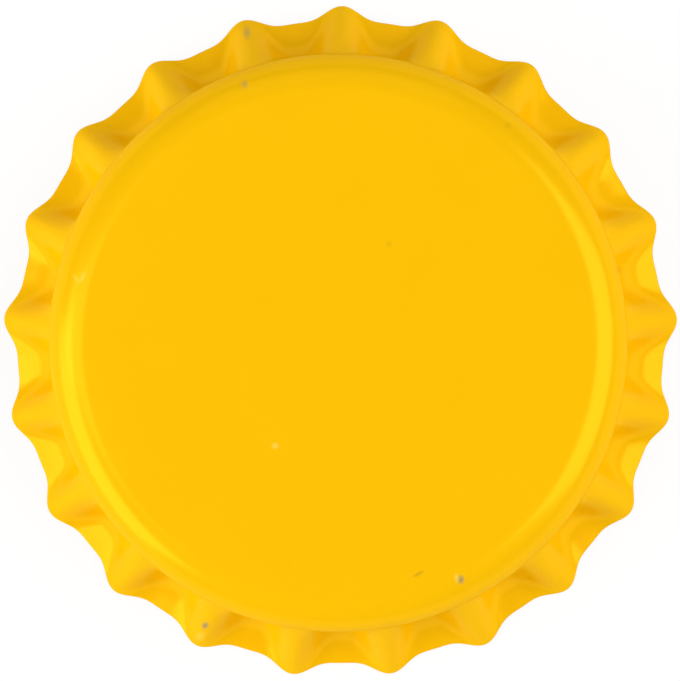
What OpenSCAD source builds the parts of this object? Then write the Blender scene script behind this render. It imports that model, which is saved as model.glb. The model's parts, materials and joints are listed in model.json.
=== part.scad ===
// Bottle cap of the crimped kind: a tinplate shell, pressed with a fluted skirt, and the sealing
// liner moulded inside it. The cap rests on its toothed edge, panel up. The origin is on the axis, in
// the plane that the cap rests on. +Z points up through the panel and +Y through the tip of a tooth.

/* [Panel and wall] */
// Inner diameter between opposite valleys at their narrowest, which takes the bottle's lip
mouth_d = 26.75; // [22:0.05:33]
// Height of the cap, from the toothed edge to the top of the panel
overall_h = 6.0; // [5:0.1:7.5]
// Thickness of the sheet
sheet_t = 0.235; // [0.18:0.005:0.3]
// Outer radius of the corner between the panel and the wall
corner_r = 1.75; // [1:0.05:2.2]
// Height of the straight wall between the corner and the flutes
wall_h = 0.6; // [0.4:0.05:1]

/* [Skirt] */
// Number of teeth, each one the foot of an outward flute
teeth = 21; // [15:1:27]
// How far the tips of the teeth stand out from the wall
flare = 2.32; // [1.8:0.02:3]
// Depth of the valleys between the teeth, at the edge
valley_depth = 0.73; // [0.4:0.01:1.1]
// How far the valleys reach in from the wall on their way down
pinch = 0.13; // [0:0.01:0.25]
// How late the valleys turn outwards: a higher power is nearer the edge
valley_power = 5; // [2:0.5:7]
// Sharpness of the teeth: a higher power makes the ridges narrower and the valleys wider
tooth_power = 4.5; // [2:0.5:8]
// Length over which a ridge bends out of the straight wall
ridge_bend = 0.25; // [0.1:0.05:0.8]

/* [Liner] */
// Thickness of the disc that lies against the panel
disc_t = 0.25; // [0.15:0.05:0.35]
// Thickness of the flat land that the bottle's rim presses on
land_t = 0.5; // [0.4:0.05:0.7]
// Width of the land, between the two beads
land_w = 2.0; // [1.5:0.1:3]
// Radius of the outer bead's section
outer_bead_r = 0.55; // [0.4:0.05:0.7]
// Radius of the inner bead's section
inner_bead_r = 0.3; // [0.2:0.05:0.4]
// Distance between the outer bead and the wall
bead_inset = 0.5; // [0.3:0.01:0.8]
// Clearance between the liner and the rounded corner of the shell
corner_gap = 0.03; // [0.01:0.01:0.1]

/* [Hidden] */
$fn = 96;

wall_in_r = mouth_d / 2 + pinch;    // inner face of the wall
wall_r = wall_in_r + sheet_t;       // outer face of the wall
corner_x = wall_r - corner_r;       // centre of the corner's arcs
corner_z = overall_h - corner_r;
wall_z = corner_z - wall_h;         // foot of the wall, where the flutes begin
ceiling_z = overall_h - sheet_t;    // underside of the panel

// The cut edge is square to the sloping sheet, so its outer corner stands above its inner one. These
// are the drops of that outer corner below the foot of the wall, on a ridge and in a valley.
valley_flare = flare - valley_depth;
valley_edge_tilt = atan(valley_power * valley_flare / (wall_z - sheet_t));
ridge_h = wall_z - sheet_t * flare / norm([flare, wall_z]);
valley_h = wall_z - sheet_t * sin(valley_edge_tilt);

// The skirt is a mesh of rings and columns. Its root reaches up inside the wall, a hair thinner than
// the wall on both faces, so that the two join without any faces that coincide.
columns_per_tooth = 12;
columns = teeth * columns_per_tooth;
rings = 9;
ring_spacing = 1;                   // over 1 draws the rings together near the wall
root_up = 0.25;
root_down = 0.05;
root_inset = 0.01;

land_outer_r = wall_in_r - bead_inset - 2 * outer_bead_r;
land_inner_r = land_outer_r - land_w;
land_z = ceiling_z - land_t;

// How far the bottom of a valley and the crest of a ridge stand out from the wall, at a drop of s
// below its foot. A valley dips in by the pinch, is narrowest a third of the way down, and turns
// outwards near the edge. A ridge is a straight slope with a bend at the wall.
function dip(u) = 27 / 4 * u * (1 - u) ^ 2;
function valley_at(u) = valley_flare * u ^ valley_power - pinch * dip(min(u, 1));
function valley_out(s) = valley_at(s / valley_h);
function bent(s) = norm([s, ridge_bend]) - ridge_bend;
function ridge_out(s) = flare * bent(s) / bent(ridge_h);

// Radius of the skirt's outer face at angle a: 1 on a ridge's crest and 0 in a valley blend the two.
function ridge_share(a) = abs(cos(teeth * (a - 90) / 2)) ^ tooth_power;
function skirt_r(a, s) = wall_r + valley_out(s) + (ridge_out(s) - valley_out(s)) * ridge_share(a);

// Outward normal of that face, as its radial, tangential and upward parts.
function skirt_normal(a, s, step = 0.01) =
    let (
        around = (skirt_r(a + step, s) - skirt_r(a - step, s)) / (2 * step * PI / 180),
        down = (skirt_r(a, s + step) - skirt_r(a, max(s - step, 0))) / (s > step ? 2 * step : s + step),
        n = [1, -around / skirt_r(a, s), down]
    )
    n / norm(n);

function at_angle(a, p) = [p[0] * cos(a) - p[1] * sin(a), p[0] * sin(a) + p[1] * cos(a), p[2]];

// Drop of the outer corner of the cut edge, at which its inner corner lies in the base plane.
function near_edge(a) = valley_h + (ridge_h - valley_h) * ridge_share(a);
function edge_drop(a) = wall_z - sheet_t * skirt_normal(a, near_edge(a))[2];

function outer_point(a, s) = at_angle(a, [skirt_r(a, s), 0, wall_z - s]);
function inner_point(a, s) =
    at_angle(a, [skirt_r(a, s), 0, wall_z - s] - sheet_t * skirt_normal(a, s));

function root_rings(r) = [[r, 0, wall_z + root_up], [r, 0, wall_z - root_down]];
function ring_drop(a, k) = edge_drop(a) * (k / rings) ^ ring_spacing;

// The points of one column, down the outer face and back up the inner one.
function column(a) = concat(
    [for (p = root_rings(wall_r - root_inset)) at_angle(a, p)],
    [for (k = [1 : rings]) outer_point(a, ring_drop(a, k))],
    [for (k = [rings : -1 : 1]) inner_point(a, ring_drop(a, k))],
    [for (k = [1 : -1 : 0]) at_angle(a, root_rings(wall_in_r + root_inset)[k])]
);

module skirt() {
    loop = 2 * (rings + 2);
    points = [for (i = [0 : columns - 1]) each column(90 + i * 360 / columns)];
    faces = [
        for (i = [0 : columns - 1], j = [0 : loop - 1])
            let (
                next_i = (i + 1) % columns,
                next_j = (j + 1) % loop,
                a = i * loop + j,
                b = next_i * loop + j,
                c = next_i * loop + next_j,
                d = i * loop + next_j
            )
            each [[a, b, c], [a, c, d]]
    ];
    polyhedron(points, faces, convexity = 6);
}

// Quarter of a ring, the section of the corner.
module corner_section() {
    intersection() {
        difference() {
            circle(corner_r);
            circle(corner_r - sheet_t);
        }
        square(corner_r);
    }
}

// Panel, corner and wall, turned about the axis.
module crown() {
    rotate_extrude() {
        translate([0, ceiling_z]) square([corner_x, sheet_t]);
        translate([corner_x, corner_z]) corner_section();
        translate([wall_in_r, wall_z]) square([sheet_t, wall_h]);
    }
}

module crown_shell() {
    color("#fdc20c") union() {
        crown();
        skirt();
    }
}

// Section of the space under the panel that the liner may fill.
module liner_space() {
    translate([0, corner_z]) square([corner_x, ceiling_z - corner_z]);
    translate([corner_x, corner_z]) circle(corner_r - sheet_t - corner_gap);
}

module bead_section(r, x) {
    translate([x, land_z]) circle(r);
    translate([x - r, land_z]) square([2 * r, land_t]);
}

module sealing_liner() {
    color("#e6e4dc") rotate_extrude() intersection() {
        liner_space();
        union() {
            translate([0, ceiling_z - disc_t]) square([land_inner_r, disc_t]);
            translate([land_inner_r, land_z]) square([land_w, land_t]);
            bead_section(inner_bead_r, land_inner_r - inner_bead_r);
            bead_section(outer_bead_r, land_outer_r + outer_bead_r);
        }
    }
}

crown_shell();
sealing_liner();
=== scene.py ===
"""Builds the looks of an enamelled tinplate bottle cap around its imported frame.

The shell is turned as a flat, round blank of sheet and then pressed into shape, and the liner is
turned from its section. Both shapes come from Geometry Nodes trees that this file makes. Lengths
are in metres.
"""

import functools
import json
import math
from collections import namedtuple

import bpy
from mathutils import Euler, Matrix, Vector


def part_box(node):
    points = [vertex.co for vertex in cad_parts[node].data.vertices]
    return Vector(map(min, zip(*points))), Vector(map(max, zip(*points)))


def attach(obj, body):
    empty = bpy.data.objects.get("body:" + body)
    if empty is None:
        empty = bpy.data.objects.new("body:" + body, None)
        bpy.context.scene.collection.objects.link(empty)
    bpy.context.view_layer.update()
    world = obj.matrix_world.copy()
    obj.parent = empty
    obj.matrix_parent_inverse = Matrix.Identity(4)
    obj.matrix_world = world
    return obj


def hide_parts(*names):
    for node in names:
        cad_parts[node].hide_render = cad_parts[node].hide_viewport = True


bl_info = {
    "name": "Bottle Cap",
    "version": (1, 0, 0),
    "blender": (4, 5, 0),
    "location": "View3D > Sidebar > Bottle Cap",
    "description": "Builds a pressed and enamelled bottle cap, its liner and a small studio",
    "category": "Add Mesh",
}

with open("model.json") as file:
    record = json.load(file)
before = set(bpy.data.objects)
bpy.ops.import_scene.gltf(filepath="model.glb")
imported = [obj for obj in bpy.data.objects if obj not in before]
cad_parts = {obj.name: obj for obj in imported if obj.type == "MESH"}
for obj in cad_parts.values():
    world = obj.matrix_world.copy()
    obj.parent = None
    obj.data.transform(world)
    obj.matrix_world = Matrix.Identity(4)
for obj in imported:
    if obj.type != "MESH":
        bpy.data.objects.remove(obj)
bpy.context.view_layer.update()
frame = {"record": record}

MM = 0.001
UPRIGHT = math.pi / 2
BODY = "root"
NODE_STEP = 180  # between nodes in the editor

# Fineness of the meshes.
STEPS_PER_TOOTH = 36
LINER_STEPS = 288
MERGE_REACH = 1e-7
PROBE = 0.01 * MM  # how close the points lie that give the skirt's slopes
FIT_ROUNDS = 8
LINER_FILLET = 0.12 * MM

SHELL_LOW, SHELL_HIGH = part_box("crown_shell")
LINER_LOW, LINER_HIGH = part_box("sealing_liner")
MOUNTS = {mount["name"]: mount for mount in frame["record"]["mounts"]}
WALL_INSIDE = MOUNTS["bottle_mouth"]["dims"]["r_mm"] * MM
WALL_HEIGHT = MOUNTS["bottle_mouth"]["dims"]["length_mm"] * MM
WALL_FOOT = MOUNTS["bottle_mouth"]["pos_m"][2] - WALL_HEIGHT / 2
LAND_HEIGHT = MOUNTS["sealing_land"]["pos_m"][2]
SHEET = SHELL_HIGH.z - LINER_HIGH.z
WALL_RADIUS = WALL_INSIDE + SHEET
CORNER_RADIUS = SHELL_HIGH.z - WALL_FOOT - WALL_HEIGHT

# Marks in the enamel, as seen from above: the place and size are in mm, the turn in degrees and the
# strength is the share of the enamel's own colour that the mark hides. A chip bares the grey metal,
# a scuff has turned the enamel pale and a stain has darkened it. The pale mark beside the chip at
# 5.86, -11.22 is no wear: it is a painted highlight on that chip's lit rim. A mark is full inside
# its core and fades out at its rim, both of them shares of its size.
MARK_CORE = 0.2
MARK_RIM = 1.3
Mark = namedtuple("Mark", "kind x y length width turn strength")
MARKS = (
    Mark("chip", -4.42, 12.30, 0.34, 0.42, 0, 0.42),
    Mark("chip", -4.43, 14.74, 0.62, 0.36, 95, 0.45),
    Mark("chip", -6.40, -13.49, 0.40, 0.32, 40, 0.85),
    Mark("chip", 5.86, -11.22, 0.34, 0.42, 0, 0.8),
    # Painted highlight: a pale spot on the lit left rim of the chip above, drawn in the scuff
    # colour.
    Mark("scuff", 5.66, -11.13, 0.22, 0.44, 0, 0.6),
    Mark("scuff", -6.67, -14.03, 0.60, 0.40, 30, 0.35),
    Mark("scuff", -12.10, 3.13, 0.60, 0.20, 65, 0.4),
    Mark("scuff", -12.42, 3.07, 0.50, 0.20, -50, 0.3),
    Mark("scuff", -2.95, -4.87, 0.34, 0.30, 0, 0.6),
    Mark("stain", 3.85, -10.94, 0.60, 0.20, 30, 0.5),
    Mark("stain", 2.45, 4.71, 0.36, 0.30, 0, 0.22),
    Mark("stain", 13.32, 3.45, 0.40, 0.26, -60, 0.25),
    Mark("stain", 8.07, 10.35, 0.34, 0.30, 0, 0.22),
)

# The lamps: where each one stands, how large it looks from the cap and how far it is rolled, all in
# degrees, and its power in watts. Azimuths turn from +X towards +Y.
LAMP_REACH = 0.4
Lamp = namedtuple("Lamp", "name azimuth elevation wide tall roll power")
LAMPS = (
    Lamp("right_softbox", -3, 42, 53, 50, -8, 1.23),
    Lamp("left_tall_softbox", 179, 52, 17, 54, -6, 0.32),
    Lamp("left_low_softbox", 203, 20, 50, 50, -8, 1.27),
    Lamp("rear_softbox", 92, 35, 50, 34, 0, 0.11),
)

# The card that the cap lies on: half its side, and how much of its white is its own glow.
CARD_HALF = 0.6
CARD_GLOW_SHARE = 0.85
CARD_GLOW = 1.03

# The camera looks down with a slight lean, and its picture is shifted by these shares of its width.
CAMERA_LEAN = (math.radians(-0.73), math.radians(1.45), 0.0)
CAMERA_SHIFT = (-0.5 / 680, 1.2 / 680)


def linear(hex_code, alpha=1.0):
    """The linear colour that an sRGB hex code such as #FDC20C stands for."""
    shares = [int(hex_code[i:i + 2], 16) / 255 for i in (1, 3, 5)]
    bright = [((s + 0.055) / 1.055) ** 2.4 if s > 0.04045 else s / 12.92 for s in shares]
    return (*bright, alpha)


def add_node(tree, kind, *values, output=0, **settings):
    """Adds a node and returns one of its outputs, or the node itself if it has none.

    Values go to its inputs in order, or by name in a dict, and those that are sockets are linked.
    """
    node = tree.nodes.new(kind)
    node.location.x = NODE_STEP * len(tree.nodes)
    for name, setting in settings.items():
        setattr(node, name, setting)
    pairs = []
    for place, value in enumerate(values):
        pairs += value.items() if isinstance(value, dict) else [(place, value)]
    for key, value in pairs:
        if isinstance(value, bpy.types.NodeSocket):
            tree.links.new(value, node.inputs[key])
        else:
            node.inputs[key].default_value = value
    return node.outputs[output] if len(node.outputs) else node


# --- Sizes and colours ---------------------------------------------------------------------------


class BOTTLECAP_PG_shell(bpy.types.PropertyGroup):
    """Sizes of the pressed shell."""

    height: bpy.props.FloatProperty(
        name="Height",
        description="From the toothed edge to the top of the panel",
        default=SHELL_HIGH.z,
        subtype="DISTANCE",
    )
    wall_radius: bpy.props.FloatProperty(
        name="Wall radius",
        description="Outer radius of the straight wall under the panel",
        default=WALL_RADIUS,
        subtype="DISTANCE",
    )
    sheet: bpy.props.FloatProperty(
        name="Sheet",
        description="Thickness of the tinplate",
        default=SHEET,
        subtype="DISTANCE",
    )
    corner_radius: bpy.props.FloatProperty(
        name="Corner radius",
        description="Outer radius of the corner between panel and wall",
        default=CORNER_RADIUS,
        subtype="DISTANCE",
    )
    wall_height: bpy.props.FloatProperty(
        name="Wall height",
        description="Height of the straight wall between the corner and the flutes",
        default=WALL_HEIGHT,
        subtype="DISTANCE",
    )
    teeth: bpy.props.IntProperty(
        name="Teeth",
        description="Number of outward flutes around the skirt",
        default=21,
        min=3,
    )
    flare: bpy.props.FloatProperty(
        name="Flare",
        description="How far the tips of the teeth stand out from the wall",
        default=SHELL_HIGH.y - WALL_RADIUS,
        subtype="DISTANCE",
    )
    valley_depth: bpy.props.FloatProperty(
        name="Valley depth",
        description="Depth of the valleys between the teeth, at the edge",
        default=0.73 * MM,
        subtype="DISTANCE",
    )
    pinch: bpy.props.FloatProperty(
        name="Pinch",
        description="How far the valleys reach in from the wall on their way down",
        default=0.25 * MM,
        subtype="DISTANCE",
    )
    valley_start: bpy.props.FloatProperty(
        name="Valley start",
        description="Where the valleys turn outwards, below the foot of the wall",
        default=3.25 * MM,
        subtype="DISTANCE",
    )
    valley_bend: bpy.props.FloatProperty(
        name="Valley bend",
        description="Length over which a valley turns outwards",
        default=0.7 * MM,
        subtype="DISTANCE",
    )
    edge_width: bpy.props.FloatProperty(
        name="Tooth narrowness",
        description="Power that narrows the teeth at the edge",
        default=2.35,
        min=0.5,
    )
    root_width: bpy.props.FloatProperty(
        name="Root narrowness",
        description="Power that narrows the ridges where they leave the wall",
        default=1.6,
        min=0.5,
    )
    edge_crest: bpy.props.FloatProperty(
        name="Tooth crest",
        description="Power that flattens the crests of the ridges at the edge",
        default=2.0,
        min=1.0,
    )
    root_crest: bpy.props.FloatProperty(
        name="Root crest",
        description="Power that flattens the crests of the ridges where they leave the wall",
        default=2.0,
        min=1.0,
    )
    width_power: bpy.props.FloatProperty(
        name="Narrowing power",
        description="How late the ridges narrow: higher is nearer the edge",
        default=6.0,
        min=0.2,
    )
    ridge_start: bpy.props.FloatProperty(
        name="Ridge start",
        description="Where the ridges leave the wall, below its foot",
        default=0.0,
        subtype="DISTANCE",
    )
    ridge_bend: bpy.props.FloatProperty(
        name="Ridge bend",
        description="Length over which a ridge bends out of the wall",
        default=0.15 * MM,
        subtype="DISTANCE",
    )
    edge_round: bpy.props.FloatProperty(
        name="Edge round",
        description="Radius that the cutting die left on the edge of the sheet",
        default=0.04 * MM,
        subtype="DISTANCE",
    )
    pitch_error: bpy.props.FloatProperty(
        name="Pitch error",
        description="How far the teeth stray from an even pitch",
        default=math.radians(0.4),
        subtype="ANGLE",
    )
    pitch_side: bpy.props.FloatProperty(
        name="Pitch side",
        description="Side of the cap on which the teeth stray clockwise",
        default=math.radians(40),
        subtype="ANGLE",
    )
    ovality: bpy.props.FloatProperty(
        name="Ovality",
        description="How far the skirt is out of round",
        default=0.04 * MM,
        subtype="DISTANCE",
    )
    long_axis: bpy.props.FloatProperty(
        name="Long axis",
        description="Direction in which the skirt is widest",
        default=math.radians(12),
        subtype="ANGLE",
    )


class BOTTLECAP_PG_liner(bpy.types.PropertyGroup):
    """Sizes of the moulded liner."""

    disc: bpy.props.FloatProperty(
        name="Disc",
        description="Thickness of the disc inside the beads",
        default=0.25 * MM,
        subtype="DISTANCE",
    )
    inner_bead: bpy.props.FloatProperty(
        name="Inner bead",
        description="Radius of the inner bead's section",
        default=0.3 * MM,
        subtype="DISTANCE",
    )
    land_width: bpy.props.FloatProperty(
        name="Land width",
        description="Width of the flat land between the beads",
        default=2.0 * MM,
        subtype="DISTANCE",
    )
    corner_gap: bpy.props.FloatProperty(
        name="Corner gap",
        description="Clearance to the rounded corner of the shell",
        default=0.03 * MM,
        subtype="DISTANCE",
    )


def colour_property(name, description, hex_code):
    """A colour of a finish, which opens at this sRGB hex code."""
    return bpy.props.FloatVectorProperty(
        name=name,
        description=description,
        default=linear(hex_code),
        size=4,
        subtype="COLOR",
        min=0.0,
        max=1.0,
    )


class BOTTLECAP_PG_finish(bpy.types.PropertyGroup):
    """Colours of the coats, the bare metal and the liner."""

    enamel: colour_property("Enamel", "The coat on the outside", "#F6BA03")
    enamel_cloud: colour_property("Enamel cloud", "The coat where it lies thicker", "#F7BE05")
    bare_metal: colour_property("Bare metal", "The grey under a chip in the enamel", "#8F8766")
    # Pale colour for rubbed wear, also used for the painted highlight on the lit rim of one chip.
    scuff: colour_property("Scuff", "Enamel that is rubbed pale", "#FBD85E")
    stain: colour_property("Stain", "Dirt on the enamel", "#B98A1C")
    cut_face: colour_property("Cut face", "Steel at the sheared edge", "#A29A7B")
    lacquer: colour_property("Lacquer", "Lacquered tinplate on the inside", "#C6C2B3")
    liner: colour_property("Liner", "The sealing compound", "#E5E2D8")


class BOTTLECAP_PG_studio(bpy.types.PropertyGroup):
    """The camera and the lamps."""

    focal_length: bpy.props.FloatProperty(
        name="Focal length",
        description="A long lens, so that the view is almost parallel, in mm",
        default=1500.0,
    )
    view_width: bpy.props.FloatProperty(
        name="View width",
        description="Width that the picture covers at the toothed edge",
        default=32.41 * MM,
        subtype="DISTANCE",
    )
    sky: bpy.props.FloatProperty(
        name="Sky",
        description="Strength of the even light from all around",
        default=0.375,
        min=0.0,
    )


# --- Geometry Nodes ------------------------------------------------------------------------------


def new_tree(name, output, input=None, **inputs):
    """An empty tree with these kinds of output and inputs, and a dict of its input sockets."""
    tree = bpy.data.node_groups.new(name, "GeometryNodeTree")
    tree.interface.new_socket("Result", in_out="OUTPUT", socket_type="NodeSocket" + output)
    if input:
        inputs = {input: input, **inputs}
    for label, kind in inputs.items():
        tree.interface.new_socket(label, in_out="INPUT", socket_type="NodeSocket" + kind)
    entry = tree.nodes.new("NodeGroupInput")
    return tree, {socket.name: socket for socket in entry.outputs if socket.name}


def run_tree(piece, tree, **values):
    """Gives a piece a tree with these input values, and leaves it a plain mesh."""
    modifier = piece.modifiers.new(tree.name, "NODES")
    modifier.node_group = tree
    identifiers = {item.name: item.identifier for item in tree.interface.items_tree}
    for label, value in values.items():
        modifier[identifiers[label]] = value
    evaluated = piece.evaluated_get(bpy.context.evaluated_depsgraph_get())
    mesh = bpy.data.meshes.new_from_object(evaluated)
    piece.modifiers.remove(modifier)
    section = piece.data
    piece.data = mesh
    bpy.data.meshes.remove(section)
    mesh.name = piece.name
    for slot in reversed(range(len(mesh.materials))):
        if mesh.materials[slot] is None:
            mesh.materials.pop(index=slot)


def turning_tree():
    """Turns a section, drawn as a chain of points from the axis and back to it, into a solid."""
    tree, given = new_tree("Turned Section", input="Geometry", output="Geometry", Steps="Int",
                           Material="Material")
    add = functools.partial(add_node, tree)
    count = add("GeometryNodeAttributeDomainSize", given["Geometry"], component="MESH")
    columns = add("ShaderNodeMath", given["Steps"], 1.0, operation="ADD")
    grid = add("GeometryNodeMeshGrid", {"Vertices X": columns, "Vertices Y": count})
    index = add("GeometryNodeInputIndex")
    row = add("ShaderNodeMath", index, count, operation="MODULO")
    column = add("ShaderNodeMath", index, count, operation="DIVIDE")
    column = add("ShaderNodeMath", column, operation="FLOOR")
    share = add("ShaderNodeMath", column, given["Steps"], operation="DIVIDE")
    angle = add("ShaderNodeMath", share, math.tau, operation="MULTIPLY")
    place = add("GeometryNodeInputPosition")
    point = add(
        "GeometryNodeSampleIndex",
        {"Geometry": given["Geometry"], "Value": place, "Index": row},
        data_type="FLOAT_VECTOR",
    )
    turned = add("ShaderNodeVectorRotate", {"Vector": point, "Angle": angle},
                 rotation_type="Z_AXIS")
    moved = add("GeometryNodeSetPosition", {"Geometry": grid, "Position": turned})
    closed = add("GeometryNodeMergeByDistance", {"Geometry": moved, "Distance": MERGE_REACH})
    smooth = add("GeometryNodeSetShadeSmooth", {"Geometry": closed, "Shade Smooth": True})
    real = add("GeometryNodeRealizeInstances", smooth)
    done = add("GeometryNodeSetMaterial", {"Geometry": real, "Material": given["Material"]})
    add("NodeGroupOutput", done)
    return tree


def flute_tree():
    """How far the skirt stands out from the wall, at an angle and a drop below the wall's foot."""
    sizes = (
        "Angle", "Drop", "Teeth", "Valley_Drop", "Valley_Start", "Valley_Bend", "Valley_Slope",
        "Pinch", "Ridge_Drop", "Ridge_Start", "Ridge_Bend", "Ridge_Slope", "Edge_Width",
        "Root_Width", "Edge_Crest", "Root_Crest", "Width_Power", "Pitch_Error", "Pitch_Side",
        "Ovality", "Long_Axis",
    )
    tree, given = new_tree("Flutes", output="Float", **{name: "Float" for name in sizes})
    add = functools.partial(add_node, tree)
    maths = functools.partial(add, "ShaderNodeMath")

    def bent_line(start, bend, slope):
        """A line down the wall that bends outwards to a straight slope, from its start on."""
        past = maths(given["Drop"], start, operation="SUBTRACT")
        square = maths(maths(past, 2.0, operation="POWER"), maths(bend, 2.0, operation="POWER"),
                       operation="ADD")
        line = maths(maths(square, operation="SQRT"), past, operation="ADD")
        square = maths(maths(start, 2.0, operation="POWER"), maths(bend, 2.0, operation="POWER"),
                       operation="ADD")
        first = maths(maths(square, operation="SQRT"), start, operation="SUBTRACT")
        return maths(maths(line, first, operation="SUBTRACT"), slope, operation="MULTIPLY")

    # A ridge bends outwards at the wall and a valley near the edge. On its way down there, a valley
    # dips in by the pinch.
    ridge = bent_line(given["Ridge_Start"], given["Ridge_Bend"], given["Ridge_Slope"])
    share = maths(given["Drop"], given["Valley_Drop"], operation="DIVIDE", use_clamp=True)
    left = maths(1.0, share, operation="SUBTRACT")
    dip = maths(maths(left, 2.0, operation="POWER"), share, operation="MULTIPLY")
    dip = maths(maths(dip, 27 / 4, operation="MULTIPLY"), given["Pinch"], operation="MULTIPLY")
    valley = bent_line(given["Valley_Start"], given["Valley_Bend"], given["Valley_Slope"])
    valley = maths(valley, dip, operation="SUBTRACT")

    # The ridge share is 1 on the crest of a ridge, which leads to a tooth, and 0 along a valley.
    # The teeth are a little closer together on one side than on the other, as the tool left them.
    stray = maths(given["Angle"], given["Pitch_Side"], operation="SUBTRACT")
    stray = maths(stray, operation="COSINE")
    turn = maths(stray, given["Pitch_Error"], given["Angle"], operation="MULTIPLY_ADD")
    turn = maths(maths(turn, UPRIGHT, operation="SUBTRACT"), 0.5, operation="MULTIPLY")
    swing = maths(maths(turn, given["Teeth"], operation="MULTIPLY"), operation="SINE")
    swing = maths(swing, operation="ABSOLUTE")
    down = maths(given["Drop"], given["Ridge_Drop"], operation="DIVIDE", use_clamp=True)
    narrowing = maths(down, given["Width_Power"], operation="POWER")
    change = maths(given["Edge_Crest"], given["Root_Crest"], operation="SUBTRACT")
    crest = maths(change, narrowing, given["Root_Crest"], operation="MULTIPLY_ADD")
    change = maths(given["Edge_Width"], given["Root_Width"], operation="SUBTRACT")
    width = maths(change, narrowing, given["Root_Width"], operation="MULTIPLY_ADD")
    ridge_share = maths(1.0, maths(swing, crest, operation="POWER"), operation="SUBTRACT")
    ridge_share = maths(ridge_share, width, operation="POWER")

    rise = maths(ridge, valley, operation="SUBTRACT")
    out = maths(rise, ridge_share, valley, operation="MULTIPLY_ADD")
    oval = maths(maths(given["Angle"], given["Long_Axis"], operation="SUBTRACT"), 2.0,
                 operation="MULTIPLY")
    oval = maths(maths(oval, operation="COSINE"), given["Ovality"], operation="MULTIPLY")
    out = maths(oval, down, out, operation="MULTIPLY_ADD")
    add("NodeGroupOutput", out)
    return tree


def pressing_tree():
    """Presses a flat blank into the shell.

    A point of the blank keeps its angle about the axis. Its distance from the axis becomes one
    along the outer face, over the panel, round the corner and down the wall and the skirt, and its
    depth under the blank's top becomes a depth under that face.
    """
    flutes = flute_tree()
    laws = [item.name for item in flutes.interface.items_tree if item.in_out == "INPUT"]
    sizes = laws[2:] + [
        "Ridge_Flare", "Valley_Flare", "Corner_X", "Corner_Radius", "Height", "Wall_Height",
        "Skirt_Height", "Probe", "Bare_Edge", "Sheet",
    ]
    tree, given = new_tree(
        "Pressed Blank",
        input="Geometry",
        output="Geometry",
        **{name: "Float" for name in sizes},
        Enamel="Material",
        Edge="Material",
        Inside="Material",
    )
    add = functools.partial(add_node, tree)
    maths = functools.partial(add, "ShaderNodeMath")

    place = add("GeometryNodeInputPosition")
    split = add("ShaderNodeSeparateXYZ", place).node.outputs
    depth = maths(split["Z"], -1.0, operation="MULTIPLY")
    flat = add("ShaderNodeCombineXYZ", split["X"], split["Y"])
    along = add("ShaderNodeVectorMath", flat, operation="LENGTH", output="Value")
    angle = maths(split["Y"], split["X"], operation="ARCTAN2")

    # Over the panel and round the corner: turn is 0 on the panel and upright on the wall.
    past_panel = maths(along, given["Corner_X"], operation="SUBTRACT")
    turn = maths(past_panel, given["Corner_Radius"], operation="DIVIDE")
    turn = maths(maths(turn, 0.0, operation="MAXIMUM"), UPRIGHT, operation="MINIMUM")
    sine = maths(turn, operation="SINE")
    cosine = maths(turn, operation="COSINE")
    crown_x = maths(along, given["Corner_X"], operation="MINIMUM")
    crown_x = maths(sine, given["Corner_Radius"], crown_x, operation="MULTIPLY_ADD")
    corner_z = maths(given["Height"], given["Corner_Radius"], operation="SUBTRACT")
    crown_z = maths(cosine, given["Corner_Radius"], corner_z, operation="MULTIPLY_ADD")
    corner_length = maths(given["Corner_Radius"], UPRIGHT, operation="MULTIPLY")
    fall = maths(past_panel, corner_length, operation="SUBTRACT")
    fall = maths(fall, 0.0, operation="MAXIMUM")

    def skirt_out(angle, drop):
        """The flutes' distance from the wall there."""
        values = {name: given[name] for name in laws[2:]}
        return add("GeometryNodeGroup", {"Angle": angle, "Drop": drop, **values}, node_tree=flutes)

    # Drop below the foot of the wall. The skirt is stretched a little so that the inner corner of
    # its cut edge ends level with the base all the way round.
    drop = maths(maths(fall, given["Wall_Height"], operation="SUBTRACT"), 0.0, operation="MAXIMUM")
    tooth_out = skirt_out(angle, given["Ridge_Drop"])
    tooth_range = maths(given["Ridge_Flare"], given["Valley_Flare"], operation="SUBTRACT")
    tooth_share = maths(tooth_out, given["Valley_Flare"], operation="SUBTRACT")
    tooth_share = maths(tooth_share, tooth_range, operation="DIVIDE", use_clamp=True)
    drop_range = maths(given["Ridge_Drop"], given["Valley_Drop"], operation="SUBTRACT")
    full_drop = maths(tooth_share, drop_range, given["Valley_Drop"], operation="MULTIPLY_ADD")
    stretch = maths(full_drop, given["Skirt_Height"], operation="DIVIDE")
    drop = maths(drop, stretch, operation="MULTIPLY")
    straight = maths(fall, given["Wall_Height"], operation="MINIMUM")
    fall = maths(straight, drop, operation="ADD")

    # The outer face, and its slopes down the skirt and around it from two points close by.
    out = skirt_out(angle, drop)
    radius = maths(crown_x, out, operation="ADD")
    height = maths(crown_z, fall, operation="SUBTRACT")
    probe_turn = maths(given["Probe"], radius, operation="DIVIDE")
    aside = skirt_out(maths(angle, probe_turn, operation="ADD"), drop)
    slope_aside = maths(maths(out, aside, operation="SUBTRACT"), given["Probe"], operation="DIVIDE")
    below = skirt_out(angle, maths(drop, given["Probe"], operation="ADD"))
    slope_down = maths(maths(below, out, operation="SUBTRACT"), given["Probe"], operation="DIVIDE")
    on_skirt = maths(drop, 0.0, operation="GREATER_THAN")

    # Into the sheet by the point's depth, along the normal of the outer face.
    slope_down = maths(slope_down, on_skirt, operation="MULTIPLY")
    normal_z = maths(cosine, slope_down, operation="ADD")
    normal = add("ShaderNodeCombineXYZ", sine, slope_aside, normal_z)
    normal = add("ShaderNodeVectorMath", normal, operation="NORMALIZE")
    inward = add("ShaderNodeVectorMath", {0: normal, "Scale": split["Z"]}, operation="SCALE")
    outer = add("ShaderNodeCombineXYZ", {"X": radius, "Z": height})
    point = add("ShaderNodeVectorMath", outer, inward, operation="ADD")
    point = add("ShaderNodeVectorRotate", {"Vector": point, "Angle": angle},
                rotation_type="Z_AXIS")

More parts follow.
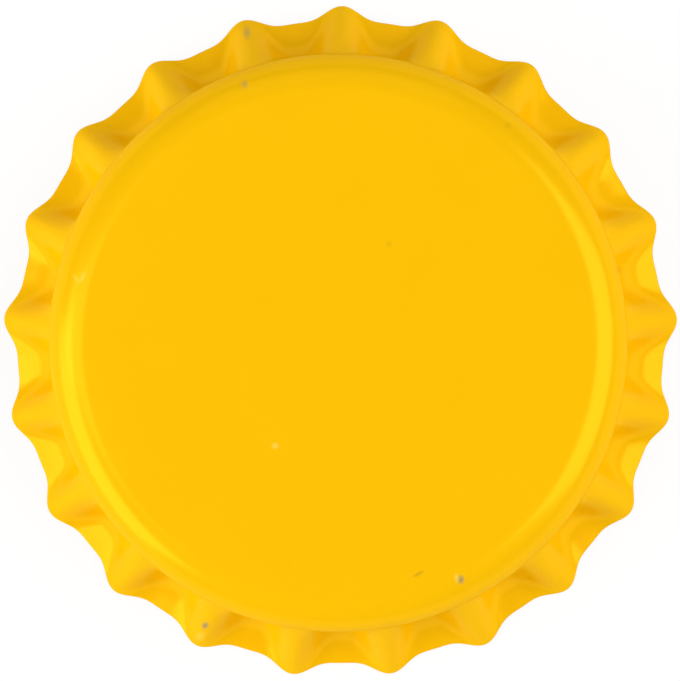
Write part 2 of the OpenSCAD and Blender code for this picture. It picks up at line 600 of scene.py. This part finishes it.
    # The enamel wraps over the edge, the cut face is bare and the inside is only lacquered. The
    # depth and the distance along the blank are kept, to tell these apart after the pressing.
    store = functools.partial(add, "GeometryNodeStoreNamedAttribute", data_type="FLOAT",
                              domain="POINT")
    kept = store(given["Geometry"], {"Name": "depth", "Value": depth})
    kept = store(kept, {"Name": "along", "Value": along})
    pressed = add("GeometryNodeSetPosition", {"Geometry": kept, "Position": point})
    smooth = add("GeometryNodeSetShadeSmooth", {"Geometry": pressed, "Shade Smooth": True})
    real = add("GeometryNodeRealizeInstances", smooth)
    depth_here = add("GeometryNodeInputNamedAttribute", {"Name": "depth"}, data_type="FLOAT")
    along_here = add("GeometryNodeInputNamedAttribute", {"Name": "along"}, data_type="FLOAT")
    inside_depth = maths(given["Sheet"], 0.5, operation="MULTIPLY")
    is_inside = add("FunctionNodeCompare", depth_here, inside_depth, operation="GREATER_THAN")
    bare_from = maths(given["Corner_X"], corner_length, operation="ADD")
    bare_from = maths(bare_from, given["Wall_Height"], operation="ADD")
    bare_from = maths(bare_from, given["Skirt_Height"], operation="ADD")
    bare_from = maths(bare_from, given["Bare_Edge"], operation="SUBTRACT")
    is_edge = add("FunctionNodeCompare", along_here, bare_from, operation="GREATER_THAN")
    coated = add("GeometryNodeSetMaterial", {"Geometry": real, "Material": given["Enamel"]})
    lined = add("GeometryNodeSetMaterial",
                {"Geometry": coated, "Selection": is_inside, "Material": given["Inside"]})
    done = add("GeometryNodeSetMaterial",
               {"Geometry": lined, "Selection": is_edge, "Material": given["Edge"]})
    add("NodeGroupOutput", done)
    return tree


# --- Materials -----------------------------------------------------------------------------------


def new_material(name):
    """A material with an empty tree, and the function that adds nodes to it."""
    material = bpy.data.materials.new(name)
    material.use_nodes = True
    material.node_tree.nodes.clear()
    return material, functools.partial(add_node, material.node_tree)


def shade(colour, gain):
    """The same colour, lighter or darker by this factor."""
    return (*(min(channel * gain, 1.0) for channel in colour[:3]), 1.0)


def enamel(finish):
    """Yellow stoving enamel, rolled on the flat tinplate and baked before the cap was pressed.

    The eye gets a warm, even yellow with soft, broad highlights that stay yellow. Close up it has
    the faint orange peel and cloudiness of a rolled coat, with chips and scuffs where caps have
    knocked together, and a pale spot painted on the lit rim of one chip as its highlight.
    """
    material, add = new_material("yellow_stoving_enamel_rolled")
    place = add("ShaderNodeTexCoord", output="Object")

    # The coat's thickness wanders over 2 to 3 mm.
    cloud = add("ShaderNodeTexNoise", {"Vector": place, "Scale": 1 / (2.5 * MM), "Detail": 3.0},
                output="Fac")
    colour = add("ShaderNodeMix", {0: cloud, 6: finish.enamel, 7: finish.enamel_cloud},
                 data_type="RGBA", output=2)

    # The marks, with rims that are ragged by a tenth of a millimetre.
    ragged = add("ShaderNodeTexNoise", {"Vector": place, "Scale": 1 / (0.12 * MM), "Detail": 1.0},
                 output="Color")
    ragged = add("ShaderNodeVectorMath", ragged, (0.5, 0.5, 0.5), operation="SUBTRACT")
    ragged = add("ShaderNodeVectorMath", {0: ragged, "Scale": 0.12 * MM}, operation="SCALE")
    ragged = add("ShaderNodeVectorMath", place, ragged, operation="ADD")
    # The scuff tone also paints the highlight on one chip's lit rim.
    tones = {"chip": finish.bare_metal, "scuff": finish.scuff, "stain": finish.stain}
    for mark in MARKS:
        spot = add(
            "ShaderNodeMapping",
            {
                "Vector": ragged,
                "Location": (mark.x * MM, mark.y * MM, 0.0),
                "Rotation": (0.0, 0.0, math.radians(mark.turn)),
                "Scale": (mark.length / 2 * MM, mark.width / 2 * MM, 1.0),
            },
            vector_type="TEXTURE",
        )
        away = add("ShaderNodeVectorMath", spot, operation="LENGTH", output="Value")
        cover = add(
            "ShaderNodeMapRange",
            {"Value": away, "From Min": MARK_RIM, "From Max": MARK_CORE, "To Max": mark.strength},
        )
        colour = add("ShaderNodeMix", {0: cover, 6: colour, 7: tones[mark.kind]},
                     data_type="RGBA", output=2)

    # Orange peel of 0.6 mm cells. The pigment lies close under the gloss and tints it, so a small
    # metallic share stands for most of the reflection, and a thin clear coat for the rest.
    peel = add("ShaderNodeTexNoise", {"Vector": place, "Scale": 1 / (0.6 * MM), "Detail": 2.0},
               output="Fac")
    bump = add("ShaderNodeBump", {"Strength": 0.15, "Distance": 0.01 * MM, "Height": peel})
    rough = add("ShaderNodeMapRange", {"Value": cloud, "To Min": 0.2, "To Max": 0.24})
    shader = add(
        "ShaderNodeBsdfPrincipled",
        {
            "Base Color": colour,
            "Roughness": rough,
            "IOR": 1.5,
            "Metallic": 0.12,
            "Specular IOR Level": 0.0,
            "Specular Tint": (1.0, 0.8, 0.08, 1.0),
            "Coat Weight": 0.08,
            "Coat Roughness": 0.2,
            "Coat IOR": 1.5,
            "Normal": bump,
            "Coat Normal": bump,
        },
    )
    add("ShaderNodeOutputMaterial", shader)
    return material


def cut_steel(finish):
    """The edge of the sheet as the blanking die left it.

    The eye gets a thin, dull line of bare steel, torn and a little dark.
    """
    material, add = new_material("tinplate_edge_sheared")
    place = add("ShaderNodeTexCoord", output="Object")

    # The tears are some 0.02 mm wide, and are drawn 0.08 mm wide to show.
    tear = add("ShaderNodeTexNoise", {"Vector": place, "Scale": 1 / (0.08 * MM), "Detail": 2.0},
               output="Fac")
    dark, pale = shade(finish.cut_face, 0.75), shade(finish.cut_face, 1.25)
    colour = add("ShaderNodeMix", {0: tear, 6: dark, 7: pale}, data_type="RGBA", output=2)
    bump = add("ShaderNodeBump", {"Strength": 0.4, "Distance": 0.01 * MM, "Height": tear})
    shader = add(
        "ShaderNodeBsdfPrincipled",
        {"Base Color": colour, "Metallic": 1.0, "Roughness": 0.45, "Normal": bump},
    )
    add("ShaderNodeOutputMaterial", shader)
    return material


def lacquered_tinplate(finish):
    """Inside of the shell: bright rolled tinplate under a thin clear lacquer.

    The eye gets a soft metal gleam with a straight grain in it.
    """
    material, add = new_material("tinplate_rolled_and_lacquered")
    place = add("ShaderNodeTexCoord", output="Object")

    # The grain is some 0.01 mm wide, and is drawn ten times as wide to show.
    grain_place = add("ShaderNodeMapping", {"Vector": place, "Scale": (1.0, 20.0, 20.0)})
    grain = add(
        "ShaderNodeTexNoise",
        {"Vector": grain_place, "Scale": 1 / (2.0 * MM), "Detail": 3.0},
        output="Fac",
    )
    dark, pale = shade(finish.lacquer, 0.86), shade(finish.lacquer, 1.14)
    colour = add("ShaderNodeMix", {0: grain, 6: dark, 7: pale}, data_type="RGBA", output=2)
    rough = add("ShaderNodeMapRange", {"Value": grain, "To Min": 0.26, "To Max": 0.38})
    bump = add("ShaderNodeBump", {"Strength": 0.2, "Distance": 0.005 * MM, "Height": grain})
    shader = add(
        "ShaderNodeBsdfPrincipled",
        {
            "Base Color": colour,
            "Metallic": 1.0,
            "Roughness": rough,
            "Coat Weight": 0.6,
            "Coat Roughness": 0.15,
            "Normal": bump,
        },
    )
    add("ShaderNodeOutputMaterial", shader)
    return material


def liner_compound(finish):
    """Soft off-white sealing compound, moulded hot in the shell.

    The eye gets a satin, slightly milky skin with the faint turned rings of the punch.
    """
    material, add = new_material("sealing_compound_moulded")
    place = add("ShaderNodeTexCoord", output="Object")
    cloud = add("ShaderNodeTexNoise", {"Vector": place, "Scale": 1 / (3.0 * MM), "Detail": 3.0},
                output="Fac")
    dark, pale = shade(finish.liner, 0.93), shade(finish.liner, 1.07)
    colour = add("ShaderNodeMix", {0: cloud, 6: dark, 7: pale}, data_type="RGBA", output=2)

    # The punch's turning marks are some 0.1 mm apart, and are drawn wider apart to show.
    rings = add(
        "ShaderNodeTexWave",
        {"Vector": place, "Scale": 1 / (0.9 * MM), "Distortion": 0.6, "Detail": 1.0},
        wave_type="RINGS",
        rings_direction="Z",
        output="Fac",
    )
    bump = add("ShaderNodeBump", {"Strength": 0.25, "Distance": 0.01 * MM, "Height": rings})
    shader = add(
        "ShaderNodeBsdfPrincipled",
        {
            "Base Color": colour,
            "Roughness": 0.42,
            "IOR": 1.5,
            "Subsurface Weight": 0.15,
            "Subsurface Radius": (0.5 * MM, 0.5 * MM, 0.4 * MM),
            "Subsurface Scale": 1.0,
            "Normal": bump,
        },
    )
    add("ShaderNodeOutputMaterial", shader)
    return material


def white_card():
    """Matt white card, which the eye sees as plain white with a soft part of the cap's shadow."""
    material, add = new_material("white_card")
    ray = add("ShaderNodeLightPath", output="Is Camera Ray").node.outputs
    sight = add("ShaderNodeMath", ray["Is Camera Ray"], ray["Is Glossy Ray"], operation="MAXIMUM")
    sight = add("ShaderNodeMath", sight, ray["Is Transmission Ray"], operation="MAXIMUM")
    matt = add("ShaderNodeBsdfDiffuse", {"Color": linear("#E8E8E8")})
    glow = add("ShaderNodeEmission", {"Color": linear("#FFFFFF"), "Strength": CARD_GLOW})
    share = add("ShaderNodeMath", sight, CARD_GLOW_SHARE, operation="MULTIPLY")
    shader = add("ShaderNodeMixShader", share, {1: matt, 2: glow})
    add("ShaderNodeOutputMaterial", shader)
    return material


# --- Pieces --------------------------------------------------------------------------------------


def chain(name, points):
    """An object whose mesh is a chain of points in the plane y = 0, given as (x, z)."""
    mesh = bpy.data.meshes.new(name)
    links = [(i, i + 1) for i in range(len(points) - 1)]
    mesh.from_pydata([(x, 0.0, z) for x, z in points], links, [])
    piece = bpy.data.objects.new(name, mesh)
    bpy.context.scene.collection.objects.link(piece)
    return piece


def spread(start, end, steps):
    """Numbers from start to end, both included, in even steps."""
    return [start + (end - start) * i / steps for i in range(steps + 1)]


def arc(x, z, radius, start, end, steps):
    """Points along an arc in the plane y = 0, with its angles in degrees from +X towards +Z."""
    angles = [math.radians(angle) for angle in spread(start, end, steps)]
    return [(x + radius * math.cos(a), z + radius * math.sin(a)) for a in angles]


def blank_section(shell):
    """Section of the flat blank: out along its foot, round the cut edge and back along its top."""
    corner_x = shell.wall_radius - shell.corner_radius
    wall_start = corner_x + shell.corner_radius * UPRIGHT
    skirt_start = wall_start + shell.wall_height
    skirt_height = shell.height - shell.corner_radius - shell.wall_height
    edge_start = skirt_start + skirt_height - shell.edge_round

    def face(z, panel, corner, wall, skirt):
        """Points along a face of the blank, with the steps of its panel, corner, wall and skirt."""
        distances = (
            spread(0.0, corner_x, panel)[:-1]
            + spread(corner_x, wall_start, corner)[:-1]
            + spread(wall_start, skirt_start, wall)[:-1]
            + spread(skirt_start, edge_start, skirt)[:-1]
        )
        return [(distance, z) for distance in distances]

    foot = face(-shell.sheet, 4, 10, 2, 22)
    lower = arc(edge_start, shell.edge_round - shell.sheet, shell.edge_round, -90, 0, 5)
    upper = arc(edge_start, -shell.edge_round, shell.edge_round, 0, 90, 5)
    top = face(0.0, 6, 18, 3, 32)
    return foot + lower + upper + top[::-1]


def liner_section(shell, liner):
    """Section of the liner: out along its underside, over the beads, and back along the panel."""
    ceiling = LINER_HIGH.z
    rim = LINER_HIGH.x
    outer_bead = LAND_HEIGHT - LINER_LOW.z
    outer_x = rim - outer_bead
    land_outer = outer_x - outer_bead
    land_inner = land_outer - liner.land_width
    inner_x = land_inner - liner.inner_bead
    disc_z = ceiling - liner.disc
    corner_x = shell.wall_radius - shell.corner_radius
    corner_z = shell.height - shell.corner_radius
    corner_fit = shell.corner_radius - shell.sheet - liner.corner_gap
    fillet = LINER_FILLET
    bead_start = inner_x - liner.inner_bead
    rim_turn = math.degrees(math.acos((rim - corner_x) / corner_fit))
    return (
        [(x, disc_z) for x in spread(0.0, bead_start - fillet, 8)[:-1]]
        + arc(bead_start - fillet, disc_z - fillet, fillet, 90, 0, 5)
        + arc(inner_x, LAND_HEIGHT, liner.inner_bead, 180, 350, 16)
        + [(x, LAND_HEIGHT) for x in spread(land_inner + fillet, land_outer - fillet, 6)]
        + arc(outer_x, LAND_HEIGHT, outer_bead, 190, 360, 20)
        + arc(corner_x, corner_z, corner_fit, rim_turn, 90, 10)
        + [(x, ceiling) for x in spread(corner_x, 0.0, 6)]
    )


def edge_fit(shell, skirt_height, flare, start, bend):
    """How far down a bent line's outer face ends, and the slope that takes it out by the flare.

    The cut edge is square to the sheet and rounded, and ends above the base by so much that its
    inner corner just touches it.
    """
    drop = skirt_height
    for _ in range(FIT_ROUNDS):
        past = drop - start
        length = math.hypot(past, bend) + past - math.hypot(start, bend) + start
        slope = flare / length
        end_slope = slope * (1.0 + past / math.hypot(past, bend))
        normal_z = end_slope / math.hypot(1.0, end_slope)
        rise = (shell.sheet - shell.edge_round) * normal_z
        rise += shell.edge_round * (math.hypot(1.0, normal_z) - 1.0)
        drop = skirt_height - rise
    return drop, slope


def settle(piece, height):
    """Squeezes a piece by a hair, so that its lowest point lies on the base and its top stays."""
    vertices = piece.data.vertices
    lowest = min(vertex.co.z for vertex in vertices)
    for vertex in vertices:
        vertex.co.z -= lowest * (1.0 - vertex.co.z / height)


def finish_piece(piece, node):
    """Ties a finished piece to the frame in place of its CAD node."""
    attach(piece, BODY)
    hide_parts(node)


class BOTTLECAP_OT_add_shell(bpy.types.Operator):
    """Turn a flat blank of tinplate and press it into the cap's shell"""

    bl_idname = "bottlecap.add_shell"
    bl_label = "Pressed shell"
    bl_options = {"REGISTER", "UNDO"}

    def execute(self, context):
        shell = context.scene.bottlecap_shell
        finish = context.scene.bottlecap_finish
        skirt_height = shell.height - shell.corner_radius - shell.wall_height
        valley_flare = shell.flare - shell.valley_depth
        valley_drop, valley_slope = edge_fit(
            shell, skirt_height, valley_flare, shell.valley_start, shell.valley_bend)
        ridge_drop, ridge_slope = edge_fit(
            shell, skirt_height, shell.flare, shell.ridge_start, shell.ridge_bend)
        piece = chain("crown_shell_pressed", blank_section(shell))
        run_tree(piece, turning_tree(), Steps=shell.teeth * STEPS_PER_TOOTH)
        run_tree(
            piece,
            pressing_tree(),
            Corner_X=shell.wall_radius - shell.corner_radius,
            Corner_Radius=shell.corner_radius,
            Height=shell.height,
            Wall_Height=shell.wall_height,
            Skirt_Height=skirt_height,
            Valley_Drop=valley_drop,
            Ridge_Drop=ridge_drop,
            Ridge_Flare=shell.flare,
            Valley_Flare=valley_flare,
            Valley_Start=shell.valley_start,
            Valley_Bend=shell.valley_bend,
            Valley_Slope=valley_slope,
            Pinch=shell.pinch,
            Ridge_Start=shell.ridge_start,
            Ridge_Bend=shell.ridge_bend,
            Ridge_Slope=ridge_slope,
            Edge_Width=shell.edge_width,
            Root_Width=shell.root_width,
            Edge_Crest=shell.edge_crest,
            Root_Crest=shell.root_crest,
            Width_Power=shell.width_power,
            Probe=PROBE,
            Teeth=float(shell.teeth),
            Pitch_Error=shell.pitch_error,
            Pitch_Side=shell.pitch_side,
            Ovality=shell.ovality,
            Long_Axis=shell.long_axis,
            Bare_Edge=shell.edge_round / 10,
            Sheet=shell.sheet,
            Enamel=enamel(finish),
            Edge=cut_steel(finish),
            Inside=lacquered_tinplate(finish),
        )
        settle(piece, shell.height)
        finish_piece(piece, "crown_shell")
        return {"FINISHED"}


class BOTTLECAP_OT_add_liner(bpy.types.Operator):
    """Turn the moulded sealing liner that lies under the panel"""

    bl_idname = "bottlecap.add_liner"
    bl_label = "Moulded liner"
    bl_options = {"REGISTER", "UNDO"}

    def execute(self, context):
        shell = context.scene.bottlecap_shell
        liner = context.scene.bottlecap_liner
        piece = chain("sealing_liner_moulded", liner_section(shell, liner))
        compound = liner_compound(context.scene.bottlecap_finish)
        run_tree(piece, turning_tree(), Steps=LINER_STEPS, Material=compound)
        finish_piece(piece, "sealing_liner")
        return {"FINISHED"}


def add_lamp(name, azimuth, elevation, wide, tall, roll, power):
    """A softbox that faces the middle of the cap. Its angles, seen from there, are in degrees."""
    light = bpy.data.lights.new(name, "AREA")
    light.shape = "RECTANGLE"
    light.size = 2 * LAMP_REACH * math.tan(math.radians(wide / 2))
    light.size_y = 2 * LAMP_REACH * math.tan(math.radians(tall / 2))
    light.energy = power
    turn = Euler((UPRIGHT - math.radians(elevation), 0.0, UPRIGHT + math.radians(azimuth)))
    turn = turn.to_matrix() @ Euler((0.0, 0.0, math.radians(roll))).to_matrix()
    lamp = bpy.data.objects.new(name, light)
    lamp.location = turn @ Vector((0.0, 0.0, LAMP_REACH))
    lamp.rotation_euler = turn.to_euler()
    lamp.visible_camera = False
    bpy.context.scene.collection.objects.link(lamp)


class BOTTLECAP_OT_add_studio(bpy.types.Operator):
    """Add the white card, the soft lamps and the camera"""

    bl_idname = "bottlecap.add_studio"
    bl_label = "Studio"
    bl_options = {"REGISTER", "UNDO"}

    def execute(self, context):
        studio = context.scene.bottlecap_studio
        half = CARD_HALF
        corners = [(-half, -half, 0), (half, -half, 0), (half, half, 0), (-half, half, 0)]
        mesh = bpy.data.meshes.new("white_card")
        mesh.from_pydata(corners, [], [(0, 1, 2, 3)])
        mesh.materials.append(white_card())
        card = bpy.data.objects.new("white_card", mesh)
        context.scene.collection.objects.link(card)

        for lamp in LAMPS:
            add_lamp(**lamp._asdict())

        world = bpy.data.worlds.new("pale_room")
        world.use_nodes = True
        world.node_tree.nodes.clear()
        sky = add_node(world.node_tree, "ShaderNodeBackground",
                       {"Color": linear("#FFFFFF"), "Strength": studio.sky})
        add_node(world.node_tree, "ShaderNodeOutputWorld", sky)
        context.scene.world = world

        lens = bpy.data.cameras.new("camera")
        lens.lens = studio.focal_length
        lens.sensor_fit = "HORIZONTAL"
        distance = studio.view_width * studio.focal_length / lens.sensor_width
        lens.clip_start = distance / 10
        lens.clip_end = distance * 10
        camera = bpy.data.objects.new("camera", lens)
        context.scene.collection.objects.link(camera)
        lean = Euler(CAMERA_LEAN)
        camera.rotation_euler = lean
        camera.location = lean.to_matrix() @ Vector((0.0, 0.0, distance))
        lens.shift_x, lens.shift_y = CAMERA_SHIFT
        context.scene.camera = camera
        context.scene.view_settings.view_transform = "Standard"
        return {"FINISHED"}


class BOTTLECAP_PT_sidebar(bpy.types.Panel):
    """Lists the cap's sizes and the operators that build it"""

    bl_idname = "BOTTLECAP_PT_sidebar"
    bl_label = "Bottle Cap"
    bl_space_type = "VIEW_3D"
    bl_region_type = "UI"
    bl_category = "Bottle Cap"

    def draw(self, context):
        for group in (getattr(context.scene, name) for name in GROUPS):
            column = self.layout.box().column()
            for name in group.__annotations__:
                column.prop(group, name)
        for operator in OPERATORS:
            self.layout.operator(operator.bl_idname)


GROUPS = {
    "bottlecap_shell": BOTTLECAP_PG_shell,
    "bottlecap_liner": BOTTLECAP_PG_liner,
    "bottlecap_finish": BOTTLECAP_PG_finish,
    "bottlecap_studio": BOTTLECAP_PG_studio,
}
OPERATORS = (BOTTLECAP_OT_add_shell, BOTTLECAP_OT_add_liner, BOTTLECAP_OT_add_studio)
CLASSES = (*GROUPS.values(), *OPERATORS, BOTTLECAP_PT_sidebar)


def register():
    for cls in CLASSES:
        bpy.utils.register_class(cls)
    for name, group in GROUPS.items():
        setattr(bpy.types.Scene, name, bpy.props.PointerProperty(type=group))


def unregister():
    for name in GROUPS:
        delattr(bpy.types.Scene, name)
    for cls in reversed(CLASSES):
        bpy.utils.unregister_class(cls)


def main():
    register()
    bpy.ops.bottlecap.add_shell()
    bpy.ops.bottlecap.add_liner()
    bpy.ops.bottlecap.add_studio()


if __name__ == "__main__":
    main()
